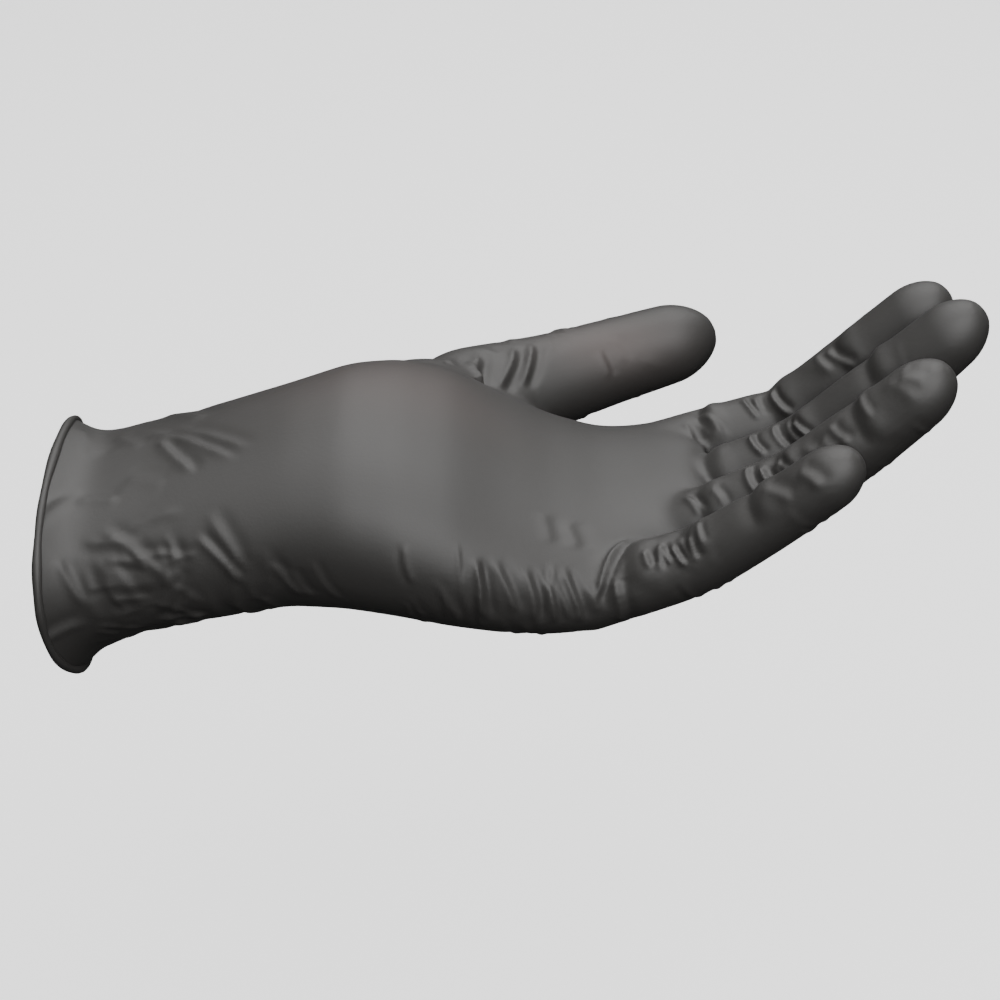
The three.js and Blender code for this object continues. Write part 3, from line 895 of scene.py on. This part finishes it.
# The palm's own gathers, placed from the joint whose bending makes them.
PALM_GATHERS = {
    "little_knuckle": (
        Gather(-40, -6, 9, 142, 196, lean=5, bow=1, width=1.0, height=0.8, wander=5),
        Gather(0, 0, 1, 118, 186, lean=-15, bow=-6, width=0.9, height=0.95),
        Gather(-24, -12, 2, 118, 142, lean=4, width=2.0, height=0.3),
    ),
    "wrist_flexion": (
        Gather(-8, 12, 4, 168, 200, lean=8, width=1.1, height=0.38),
        Gather(-12, -5, 3, 150, 196, lean=0, bow=-1, width=1.6, height=0.26),
    ),
    "wrist_deviation": (
        Gather(-16, 6, 5, 128, 188, lean=14, bow=2, width=1.3, height=0.5, wander=5),
        Gather(-10, 2, 3, 72, 112, lean=26, bow=1, width=1.3, height=0.5),
        Gather(-30, -20, 3, 140, 190, lean=10, bow=1, width=1.2, height=0.4, wander=5),
    ),
}
FOUR_FINGERS = ("index", "middle", "ring", "little")
# Scattered folds: each row gives the limb, then the ranges along and around it, how many, their
# way and spread, and the ranges of their lengths, widths and heights.
FOLD_FIELDS = (
    # cuff: long slack creases, closer and more broken on the little finger's side and the back
    ("palm", FoldField((4, 36), (0, 360), 40, 10, 60, (12, 28), (1.2, 2.6), (0.12, 0.45))),
    ("palm", FoldField((16, 40), (150, 215), 22, 50, 60, (7, 14), (0.8, 1.3), (0.15, 0.35))),
    ("palm", FoldField((30, 62), (190, 350), 26, 75, 25, (9, 20), (0.9, 1.6), (0.15, 0.4))),
    # little finger's edge and back of the hand
    ("palm", FoldField((88, 128), (160, 215), 20, 82, 16, (7, 15), (0.6, 1.0), (0.15, 0.35))),
    ("palm", FoldField((66, 140), (220, 340), 30, 70, 60, (10, 24), (1.0, 2.2), (0.06, 0.2))),
    # thumb's back and root
    ("thumb", FoldField((38, 62), (170, 400), 18, 75, 30, (6, 13), (0.8, 1.4), (0.12, 0.3))),
    ("thumb", FoldField((62, 76), (180, 360), 12, 88, 14, (6, 12), (0.6, 1.0), (0.12, 0.3))),
    ("thumb", FoldField((44, 90), (0, 360), 10, 30, 60, (5, 11), (1.0, 2.0), (0.04, 0.12))),
    # fingers: the backs of the joints and faint slack all round
    *((digit, FoldField((20, 72), (205, 335), 16, 88, 14, (6, 12), (0.5, 0.9), (0.1, 0.28)))
      for digit in FOUR_FINGERS),
    *((digit, FoldField((16, 74), (0, 360), 16, 60, 50, (6, 14), (1.0, 2.2), (0.04, 0.12)))
      for digit in FOUR_FINGERS),
)
# Where the wrist's and the palm's films start along X.
WRIST_STARTS = 44.5
PALM_STARTS = 64.0
# How far a digit's film reaches from its centre line, in radii, and how far, in millimetres, a
# knuckle's film starts before its bend.
DIGIT_REACH = 1.66
SHARED_EDGE = 0.8
CUTS = {
    "index": DigitCuts((-4, 7), ((-8, 8), (-8, 8)), (8.5, 11.2)),
    "middle": DigitCuts((-4, 8), ((-8, 8), (-8, 8)), (10, 12.5)),
    "ring": DigitCuts((-4, 8), ((-8, 8), (-8, 8)), (10, 11.3)),
    "little": DigitCuts((-1.5, 6), ((-6, 8), (-8, 8)), (7.6, 9.8), -12),
    "thumb": DigitCuts((6, 14.5), ((-9, 9),), (15.5,)),
}
# Where the film is drawn thin: centre, half axes and the most stretch.
STRETCHED = (
    ((78, 14, 30), (24, 16, 16), 0.8),
    ((134, 56, 22), (16, 8, 10), 1.0),
)


# ---------------------------------------------------------------- finishes


@dataclass(frozen=True)
class FilmFinish:
    """Black nitrile with a satin face: cloudy, finely grained, a little warmer where drawn thin."""

    name: str = "black_nitrile_film"
    dark: tuple = (0.024, 0.0231, 0.0219, 1.0)
    pale: tuple = (0.034, 0.0325, 0.031, 1.0)
    warm: tuple = (0.052, 0.041, 0.038, 1.0)
    roughness: tuple = (0.50, 0.60)
    grain: float = 0.12

    def build(self) -> bpy.types.Material:
        """The material, from noise on Object coordinates and the stretch attribute."""
        material = bpy.data.materials.new(self.name)
        material.use_nodes = True
        nodes, links = material.node_tree.nodes, material.node_tree.links
        shader = nodes["Principled BSDF"]
        place = nodes.new("ShaderNodeTexCoord")
        clouds = nodes.new("ShaderNodeTexNoise")
        clouds.inputs["Scale"].default_value = 38.0
        clouds.inputs["Detail"].default_value = 5.0
        links.new(place.outputs["Object"], clouds.inputs["Vector"])
        tone = nodes.new("ShaderNodeMix")
        tone.data_type = "RGBA"
        tone.inputs["A"].default_value = self.dark
        tone.inputs["B"].default_value = self.pale
        links.new(clouds.outputs["Fac"], tone.inputs["Factor"])
        drawn = nodes.new("ShaderNodeAttribute")
        drawn.attribute_name = "film_stretch"
        warmed = nodes.new("ShaderNodeMix")
        warmed.data_type = "RGBA"
        warmed.inputs["B"].default_value = self.warm
        links.new(drawn.outputs["Fac"], warmed.inputs["Factor"])
        links.new(tone.outputs["Result"], warmed.inputs["A"])
        links.new(warmed.outputs["Result"], shader.inputs["Base Color"])
        gloss = nodes.new("ShaderNodeMapRange")
        gloss.inputs["To Min"].default_value = self.roughness[0]
        gloss.inputs["To Max"].default_value = self.roughness[1]
        links.new(clouds.outputs["Fac"], gloss.inputs["Value"])
        links.new(gloss.outputs["Result"], shader.inputs["Roughness"])
        grain = nodes.new("ShaderNodeTexNoise")
        grain.inputs["Scale"].default_value = 1400.0
        grain.inputs["Detail"].default_value = 3.0
        links.new(place.outputs["Object"], grain.inputs["Vector"])
        bump = nodes.new("ShaderNodeBump")
        bump.inputs["Strength"].default_value = self.grain
        bump.inputs["Distance"].default_value = 0.0002
        links.new(grain.outputs["Fac"], bump.inputs["Height"])
        links.new(bump.outputs["Normal"], shader.inputs["Normal"])
        return material


@dataclass(frozen=True)
class PlainFinish:
    """A plain even finish, for the floor; glow is how much it shines of itself."""

    name: str
    colour: tuple
    roughness: float
    glow: float = 0.0

    def build(self) -> bpy.types.Material:
        """The material."""
        material = bpy.data.materials.new(self.name)
        material.use_nodes = True
        shader = material.node_tree.nodes["Principled BSDF"]
        shader.inputs["Base Color"].default_value = (*self.colour, 1.0)
        shader.inputs["Roughness"].default_value = self.roughness
        shader.inputs["Emission Color"].default_value = (*self.colour, 1.0)
        shader.inputs["Emission Strength"].default_value = self.glow
        return material


# ---------------------------------------------------------------- stage


@dataclass
class Studio:
    """The pale floor, the soft lights and the camera.

    The room's own light has the strength above overhead and below underneath, and the camera
    looks at the target from distance, elevation degrees up.
    """

    target: tuple = (0.104, 0.008, 0.016)
    elevation: float = 36.0
    distance: float = 0.666
    lens: float = 100.0
    lift: float = -0.032
    floor: float = -0.24
    above: float = 1.3
    below: float = 0.75

    def floor_sheet(self) -> None:
        """One wide level square well below the glove."""
        wide = 6000.0
        corners = np.array([[-wide, -wide, 0], [wide, -wide, 0], [wide, wide, 0], [-wide, wide, 0]])
        corners[:, 2] = self.floor / MM
        sheet = mesh_object("floor", corners, [[0, 1, 2, 3]])
        sheet.data.materials.append(PlainFinish("pale_floor", (0.93, 0.93, 0.93), 0.9, 0.6).build())
        # light that the floor throws back is left out, so the glove's underside stays dark
        sheet.visible_diffuse = False
        sheet.visible_glossy = False

    def lamp(self, name: str, place: tuple, size: float, power: float) -> None:
        """A square soft light at place, facing the glove.

        Args:
            name: the light's name.
            place: its position in metres.
            size: its side in metres.
            power: its power in watts.
        """
        data = bpy.data.lights.new(name, "AREA")
        data.size, data.energy = size, power
        made = bpy.data.objects.new(name, data)
        made.location = place
        made.rotation_mode = "QUATERNION"
        made.rotation_quaternion = (Vector(self.target) - Vector(place)).to_track_quat("-Z", "Y")
        bpy.context.scene.collection.objects.link(made)

    def build(self) -> None:
        """The whole stage."""
        self.floor_sheet()
        self.lamp("overhead_light", (0.05, 0.0, 1.1), 1.6, 18.0)
        self.lamp("back_light", (0.25, 0.75, 0.85), 1.2, 12.0)
        self.lamp("front_light", (0.4, -0.75, 0.8), 1.2, 16.0)
        world = bpy.data.worlds.new("soft_room")
        world.use_nodes = True
        nodes, links = world.node_tree.nodes, world.node_tree.links
        way = nodes.new("ShaderNodeTexCoord")
        parts = nodes.new("ShaderNodeSeparateXYZ")
        rise = nodes.new("ShaderNodeMapRange")
        rise.inputs["From Min"].default_value = -0.25
        rise.inputs["From Max"].default_value = 0.35
        rise.inputs["To Min"].default_value = self.below
        rise.inputs["To Max"].default_value = self.above
        links.new(way.outputs["Generated"], parts.inputs["Vector"])
        links.new(parts.outputs["Z"], rise.inputs["Value"])
        links.new(rise.outputs["Result"], nodes["Background"].inputs["Strength"])
        bpy.context.scene.world = world
        data = bpy.data.cameras.new("camera")
        data.lens, data.sensor_width, data.shift_y = self.lens, 36.0, self.lift
        data.clip_start, data.clip_end = 0.05, 20.0
        camera = bpy.data.objects.new("camera", data)
        tilt = math.radians(self.elevation)
        back = Vector((0.0, -math.cos(tilt), math.sin(tilt)))
        camera.location = Vector(self.target) + back * self.distance
        camera.rotation_mode = "QUATERNION"
        camera.rotation_quaternion = (-back).to_track_quat("-Z", "Y")
        bpy.context.scene.collection.objects.link(camera)
        bpy.context.scene.camera = camera


def main() -> None:
    """Builds the film, its rolled rim and the stage."""
    logging.basicConfig(level=logging.INFO, format="%(message)s")
    Studio().build()
    glove = FilmGlove()
    skin = glove.open_cuff(glove.shape())
    LOG.info("skin: %d points", len(skin.points))
    skin.points = glove.rim.lean(skin.points)
    glove.crease(skin)
    finish = FilmFinish()
    glove.pieces(skin, finish)
    rim = glove.rim.build(glove.limbs["palm"])
    rim.data.shade_smooth()
    rim.data.materials.append(FilmFinish("black_nitrile_rim").build())
    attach(rim, "cuff")
    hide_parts("rolled_bead")


if __name__ == "__main__":
    main()
